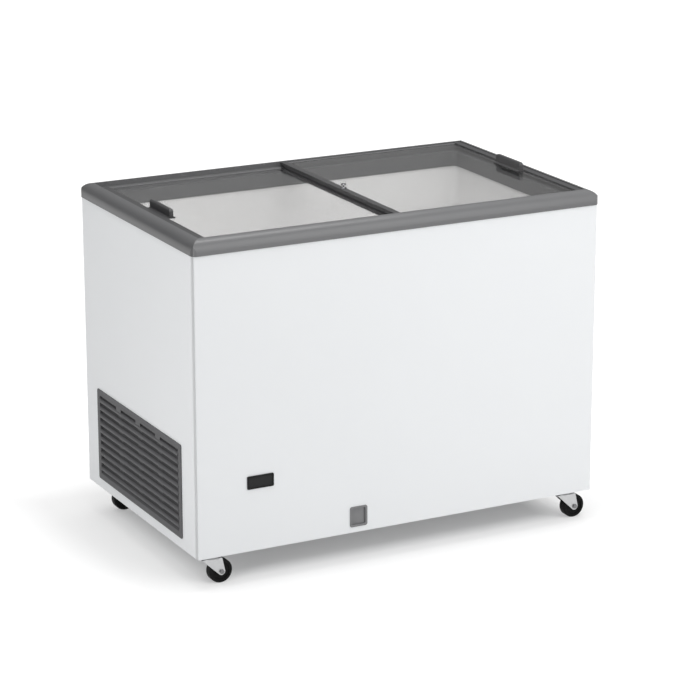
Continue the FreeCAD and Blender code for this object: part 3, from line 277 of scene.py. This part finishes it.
# %% Moulded grain
moulded_grain, given, place = effect("moulded_grain", {"Grain": 1500.0, "Patches": 7.0})
pits = put(moulded_grain, "TexNoise", {"Vector": place, "Scale": given["Grain"], "Detail": 2.0, "Roughness": 0.6})
flow = put(moulded_grain, "TexNoise", {"Vector": place, "Scale": given["Patches"], "Detail": 4.0, "Roughness": 0.55})
both = calc(moulded_grain, "ADD", pits.outputs[0], flow.outputs[0])
mean = calc(moulded_grain, "MULTIPLY", both, 0.5)
hand_out(moulded_grain, Height=pits.outputs[0], Tone=flow.outputs[0], Gloss=mean)

# %% Orange peel
orange_peel, given, place = effect("orange_peel", {"Ripple": 260.0, "Clouds": 2.5})
ripple = put(orange_peel, "TexNoise", {"Vector": place, "Scale": given["Ripple"], "Detail": 1.0, "Roughness": 0.4})
clouds = put(orange_peel, "TexNoise", {"Vector": place, "Scale": given["Clouds"], "Detail": 3.0, "Roughness": 0.5})
dust_scale = calc(orange_peel, "MULTIPLY", given["Ripple"], 4.0)
dust = put(orange_peel, "TexNoise", {"Vector": place, "Scale": dust_scale, "Detail": 2.0})
gloss = calc(orange_peel, "MULTIPLY", clouds.outputs[0], dust.outputs[0])
hand_out(orange_peel, Height=ripple.outputs[0], Tone=clouds.outputs[0], Gloss=gloss)

# %% Zinc spangle
zinc_spangle, given, place = effect("zinc_spangle", {"Flowers": 120.0, "Patches": 5.0})
bend_metres = (0.006, 0.006, 0.006)
warp = put(zinc_spangle, "TexNoise", {"Vector": place, "Scale": given["Flowers"], "Detail": 2.0})
push = put(zinc_spangle, "VectorMath", {0: warp.outputs["Color"], 1: bend_metres}, operation="MULTIPLY")
bent = put(zinc_spangle, "VectorMath", {0: place, 1: push.outputs[0]}, operation="ADD")
flowers = put(zinc_spangle, "TexVoronoi", {"Vector": bent.outputs[0], "Scale": given["Flowers"]})
facet = put(zinc_spangle, "SeparateColor", {0: flowers.outputs["Color"]})
haze = put(zinc_spangle, "TexNoise", {"Vector": place, "Scale": given["Patches"], "Detail": 5.0})
hand_out(zinc_spangle, Height=warp.outputs[0], Tone=facet.outputs[0], Gloss=haze.outputs[0])

# %% Drawn streaks
drawn_streaks, given, place = effect("drawn_streaks", {"Fine": 900.0, "Stain": 25.0})
along_z = (1.0, 1.0, 0.08)
stretch = put(drawn_streaks, "Mapping", {"Vector": place, "Scale": along_z})
lines = put(drawn_streaks, "TexNoise", {"Vector": stretch.outputs[0], "Scale": given["Fine"], "Detail": 3.0})
stain = put(drawn_streaks, "TexNoise", {"Vector": place, "Scale": given["Stain"], "Detail": 5.0, "Roughness": 0.65})
hand_out(drawn_streaks, Height=lines.outputs[0], Tone=stain.outputs[0], Gloss=lines.outputs[0])

# %% [markdown]
# ## From effect to finish
# A finish is always put together the same way: the tone mixes a deep and a pale colour that lie close together, the
# gloss sets the roughness between two limits, and the height goes through a Bump node whose distance is the real
# depth of the texture in metres. What is constant over the surface is written straight on the shader.

# %% Finish maker
noise_span = (0.25, 0.75)


def finish(name, surface, settings, deep, pale, rough, depth, **constants):
    material, tree = blank(name)
    feel = put(tree, "Group", settings, node_tree=surface)
    tone = put(tree, "Mix", {0: feel.outputs["Tone"], 6: (*deep, 1.0), 7: (*pale, 1.0)}, data_type="RGBA")
    polish = ramp(tree, feel.outputs["Gloss"], noise_span, rough)
    bump = put(tree, "Bump", {"Height": feel.outputs["Height"], "Distance": depth, "Strength": 1.0})
    skin = put(tree, "BsdfPrincipled", {"Base Color": tone.outputs[2], "Roughness": polish,
                                        "Normal": bump.outputs[0]})
    for label, value in constants.items():
        skin.inputs[label.replace("_", " ")].default_value = value
    put(tree, "OutputMaterial", {"Surface": skin.outputs[0]})
    return material


def dress(material, *names):
    for name in names:
        solid = nodes[name]
        if not solid.material_slots:
            solid.data.materials.append(material)
        for slot in solid.material_slots:
            slot.material = material
    print(material.name, "on", len(names), "pieces")


print("finish maker ready:", finish.__name__, dress.__name__)

# %% [markdown]
# ## White coated steel
# The cabinet's outer sheets are steel with a white polyester powder coat. It is a slightly cool white, half matt,
# with an orange peel a few millimetres across that only shows where something is mirrored at a low angle.

# %% Outer sheets
white_coat = finish("white_powder_coat", orange_peel, {"Ripple": 240.0, "Clouds": 2.2},
                    deep=(0.800, 0.815, 0.828), pale=(0.830, 0.843, 0.855), rough=(0.36, 0.46), depth=0.00004,
                    Specular_IOR_Level=0.3)
dress(white_coat, "front_panel", "left_panel", "right_panel", "rear_panel")

# %% [markdown]
# ## Grey frame and dark profiles
# The frame rails and the runners that slide in them are extruded plastic in a middle grey with a satin skin. The
# collar below them is rougher, so that the rim of the well doesn't glare through the glass, and its grey is darker
# than the rails' as painted shade, for the same plastic lying in the shade of the rim. The lid profiles and handles
# are nearly black. All have a grain that is finer than a millimetre, so the bump is only hundredths of a
# millimetre deep.

# %% Frame and collar
frame_grey = finish("satin_grey_plastic", moulded_grain, {"Grain": 1600.0, "Patches": 6.0},
                    deep=(0.115, 0.116, 0.119), pale=(0.128, 0.129, 0.132), rough=(0.28, 0.38), depth=0.00002)
dress(frame_grey, "frame_front_rail", "frame_rear_rail", "frame_left_rail", "frame_right_rail",
      "left_lid_runners", "right_lid_runners")
# The collar's darker grey is painted shade: it is the rails' plastic, shaded under the rim.
collar_painted_shade_grey = finish("matt_collar_plastic_painted_shade", moulded_grain, {"Grain": 1200.0, "Patches": 5.0},
                     deep=(0.090, 0.091, 0.093), pale=(0.101, 0.102, 0.105), rough=(0.55, 0.70), depth=0.00003)
dress(collar_painted_shade_grey, "inner_collar")

# %% Lid profiles
profile_dark = finish("dark_lid_plastic", moulded_grain, {"Grain": 1800.0, "Patches": 9.0},
                      deep=(0.058, 0.058, 0.060), pale=(0.068, 0.068, 0.070), rough=(0.36, 0.50), depth=0.00002)
dress(profile_dark, *[lid + part for lid in ("left_lid_", "right_lid_")
                      for part in ("end_profile", "centre_profile", "handle")])

# %% [markdown]
# ## The sliding panes
# The lids are tempered glass four millimetres thick. In Cycles a refracting pane blocks the direct light of the
# lamps, and the well would be too dark, so for the rays that carry light into the well the pane is a clear filter
# with glass's own loss. Fingers leave a faint film, which shows only as a change in roughness.

# %% Glass
film_span, film_rough = (0.35, 0.7), (0.0, 0.025)

lid_pane, tree = blank("tempered_lid_glass")
film = put(tree, "Group", {"Ripple": 30.0, "Clouds": 6.0}, node_tree=orange_peel)
wiped = ramp(tree, film.outputs["Tone"], film_span, film_rough)
clear = put(tree, "BsdfPrincipled", {"Base Color": (0.988, 0.991, 0.989, 1.0), "Roughness": wiped,
                                     "IOR": 1.5, "Transmission Weight": 1.0})
filter_glass = put(tree, "BsdfTransparent", {"Color": (0.988, 0.989, 0.988, 1.0)})
way = put(tree, "LightPath").outputs
carries_light = calc(tree, "MAXIMUM", way["Is Shadow Ray"], way["Is Diffuse Ray"])
through = put(tree, "MixShader", {0: carries_light, 1: clear.outputs[0], 2: filter_glass.outputs[0]})
put(tree, "OutputMaterial", {"Surface": through.outputs[0]})
dress(lid_pane, *panes)

# %% [markdown]
# ## Inside the well
# The liner is white coated aluminium sheet. Behind it are the foam and the tube that cools the wall, which no one
# sees until the part is taken apart, but they still get a finish of their own.

# %% Well
liner_white = finish("white_liner_sheet", orange_peel, {"Ripple": 180.0, "Clouds": 3.5},
                     deep=(0.915, 0.908, 0.906), pale=(0.932, 0.926, 0.924), rough=(0.40, 0.55), depth=0.00005)
dress(liner_white, "liner")
foam_cream = finish("rigid_foam", moulded_grain, {"Grain": 420.0, "Patches": 14.0},
                    deep=(0.62, 0.52, 0.29), pale=(0.74, 0.66, 0.42), rough=(0.75, 0.95), depth=0.0004)
dress(foam_cream, "foam_insulation")
mill_aluminium = finish("mill_aluminium", drawn_streaks, {"Fine": 800.0, "Stain": 18.0},
                        deep=(0.56, 0.57, 0.58), pale=(0.66, 0.67, 0.68), rough=(0.28, 0.44), depth=0.00002,
                        Metallic=1.0)
dress(mill_aluminium, "evaporator_coil")

# %% [markdown]
# ## Grille, thermometer and drain
# Three mouldings stand in the sheets: the louvred grille in a dark grey, the black thermometer with its smoked
# window, and the mid grey drain cover. They differ mostly in colour and gloss. The plastics share the grain, and the
# window has a faint ripple instead.

# %% Mouldings in the sheets
grille_grey = finish("grille_plastic", moulded_grain, {"Grain": 1300.0, "Patches": 8.0},
                     deep=(0.084, 0.084, 0.087), pale=(0.098, 0.098, 0.102), rough=(0.46, 0.62), depth=0.00003,
                     Specular_IOR_Level=0.25)
dress(grille_grey, "side_grille")
bezel_black = finish("bezel_plastic", moulded_grain, {"Grain": 2200.0, "Patches": 12.0},
                     deep=(0.006, 0.006, 0.006), pale=(0.009, 0.009, 0.009), rough=(0.30, 0.42), depth=0.00001,
                     Specular_IOR_Level=0.12)
dress(bezel_black, "controller_bezel", "terminal_box")
window_black = finish("smoked_window", orange_peel, {"Ripple": 90.0, "Clouds": 22.0},
                      deep=(0.008, 0.008, 0.008), pale=(0.011, 0.011, 0.011), rough=(0.22, 0.30), depth=0.000004,
                      Specular_IOR_Level=0.2)
dress(window_black, "controller_lens")
drain_grey = finish("drain_plastic", moulded_grain, {"Grain": 1500.0, "Patches": 16.0},
                    deep=(0.160, 0.161, 0.165), pale=(0.182, 0.183, 0.187), rough=(0.40, 0.55), depth=0.00003)
dress(drain_grey, "drain_housing", "drain_cap", "drain_tube")

# %% [markdown]
# ## Lining of the grille
# A louvre must not let the eye in. Between two blades the sloping back of the lower one does that, but below the
# lowest blade and past the ends of all of them the machine room would show as black gaps. The moulding has a sloping
# sill and two upright cheeks there. They are too thin to matter as solids, so they are made here: the sill from four
# points of its section, extruded along the window, the cheeks from scaled cubes, all with softened edges. The window
# is the grille's box less its margins, and the lining lies between the grille's face and the ties at its back.

# %% Grille lining
side_margin, end_margin = 0.017, 0.016
setback, plate, tie = 0.0014, 0.0025, 0.004
sill_nose, sill_rise = 0.0012, 0.0062
cheek_thickness, soft_edge = 0.008, 0.0004

grille_low, grille_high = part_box("side_grille")
face_x, inner_x = grille_low.x + setback, grille_high.x - tie
y_rear, y_front = grille_high.y - side_margin, grille_low.y + side_margin
z_low, z_high = grille_low.z + end_margin, grille_high.z - end_margin

lining = bmesh.new()
section = [(face_x, z_low), (inner_x, z_low), (inner_x, z_low + sill_rise), (face_x + sill_nose, z_low + sill_nose)]
sill = lining.faces.new([lining.verts.new((x, y_front, z)) for x, z in section])
along = bmesh.ops.extrude_face_region(lining, geom=[sill])["geom"]
far_end = [vert for vert in along if isinstance(vert, bmesh.types.BMVert)]
bmesh.ops.translate(lining, vec=(0.0, y_rear - y_front, 0.0), verts=far_end)
cheek_size = (inner_x - face_x - plate, cheek_thickness, z_high - z_low)
for edge_y, outward in ((y_rear, 1.0), (y_front, -1.0)):
    middle = ((inner_x + face_x + plate) / 2, edge_y + outward * cheek_thickness / 2, (z_low + z_high) / 2)
    cheek = bmesh.ops.create_cube(lining, size=1.0)["verts"]
    bmesh.ops.scale(lining, vec=cheek_size, verts=cheek)
    bmesh.ops.translate(lining, vec=middle, verts=cheek)
bmesh.ops.recalc_face_normals(lining, faces=lining.faces)
bmesh.ops.bevel(lining, geom=lining.edges, offset=soft_edge, affect="EDGES", segments=2, profile=0.5, material=-1)
lining_mesh = bpy.data.meshes.new("grille_lining")
lining.to_mesh(lining_mesh)
lining.free()
lining_mesh.materials.append(grille_grey)
grille_lining = bpy.data.objects.new("grille_lining", lining_mesh)
bpy.context.scene.collection.objects.link(grille_lining)
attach(grille_lining, "cabinet")
print("grille lining faces:", len(lining_mesh.polygons))

# %% [markdown]
# ## Castors
# Forks, plates and their bolts are bright zinc plated, the axle bolts are plain oiled steel and look nearly black
# against the forks, and the wheels are black nylon that hardly shines.

# %% Castors
corners = ("front_left", "front_right", "rear_left", "rear_right")
zinc_plate = finish("bright_zinc", drawn_streaks, {"Fine": 700.0, "Stain": 60.0},
                    deep=(0.46, 0.465, 0.47), pale=(0.58, 0.583, 0.586), rough=(0.26, 0.42), depth=0.00002,
                    Metallic=1.0)
dress(zinc_plate, "castor_plates", "castor_bolts", *["castor_fork_" + c for c in corners])
axle_steel = finish("oiled_axle_steel", drawn_streaks, {"Fine": 1100.0, "Stain": 90.0},
                    deep=(0.16, 0.16, 0.165), pale=(0.26, 0.26, 0.265), rough=(0.30, 0.46), depth=0.00002,
                    Metallic=1.0)
dress(axle_steel, *["castor_axle_" + c for c in corners])
wheel_nylon = finish("black_nylon", moulded_grain, {"Grain": 1000.0, "Patches": 40.0},
                     deep=(0.003, 0.003, 0.003), pale=(0.006, 0.006, 0.006), rough=(0.50, 0.70), depth=0.00004,
                     Specular_IOR_Level=0.14)
dress(wheel_nylon, "fan_rotor", *["castor_wheel_" + c for c in corners])

# %% [markdown]
# ## The machine and its small parts
# Base, bulkhead and brackets are galvanised sheet, the compressor is painted black, its lines are copper, and the
# seals are rubber. The lock in the upper lid is dark plated.

# %% Machine
galvanised = finish("galvanised_sheet", zinc_spangle, {"Flowers": 110.0, "Patches": 5.0},
                    deep=(0.42, 0.43, 0.44), pale=(0.60, 0.61, 0.62), rough=(0.38, 0.56), depth=0.00003,
                    Metallic=0.9)
dress(galvanised, "base_panel", "compartment_liner", "condenser_bracket", "fan_shroud", "compressor_foot")
machine_black = finish("machine_paint", orange_peel, {"Ripple": 320.0, "Clouds": 12.0},
                       deep=(0.010, 0.010, 0.010), pale=(0.020, 0.020, 0.020), rough=(0.22, 0.38), depth=0.00005)
dress(machine_black, "compressor_shell", "fan_motor")
copper_tube = finish("drawn_copper", drawn_streaks, {"Fine": 900.0, "Stain": 30.0},
                     deep=(0.46, 0.20, 0.11), pale=(0.68, 0.33, 0.20), rough=(0.24, 0.44), depth=0.00002,
                     Metallic=1.0)
dress(copper_tube, "condenser_coil", "filter_drier", "discharge_line", "suction_line")
seal_rubber = finish("black_rubber", moulded_grain, {"Grain": 900.0, "Patches": 20.0},
                     deep=(0.012, 0.012, 0.012), pale=(0.022, 0.022, 0.022), rough=(0.62, 0.82), depth=0.00005)
dress(seal_rubber, "compressor_grommets", "cord_gland", "centre_seal")
lock_metal = finish("dark_plated_lock", drawn_streaks, {"Fine": 1200.0, "Stain": 80.0},
                    deep=(0.20, 0.20, 0.21), pale=(0.30, 0.30, 0.31), rough=(0.16, 0.30), depth=0.00001,
                    Metallic=1.0)
dress(lock_metal, "lock_barrel", "lock_plunger")
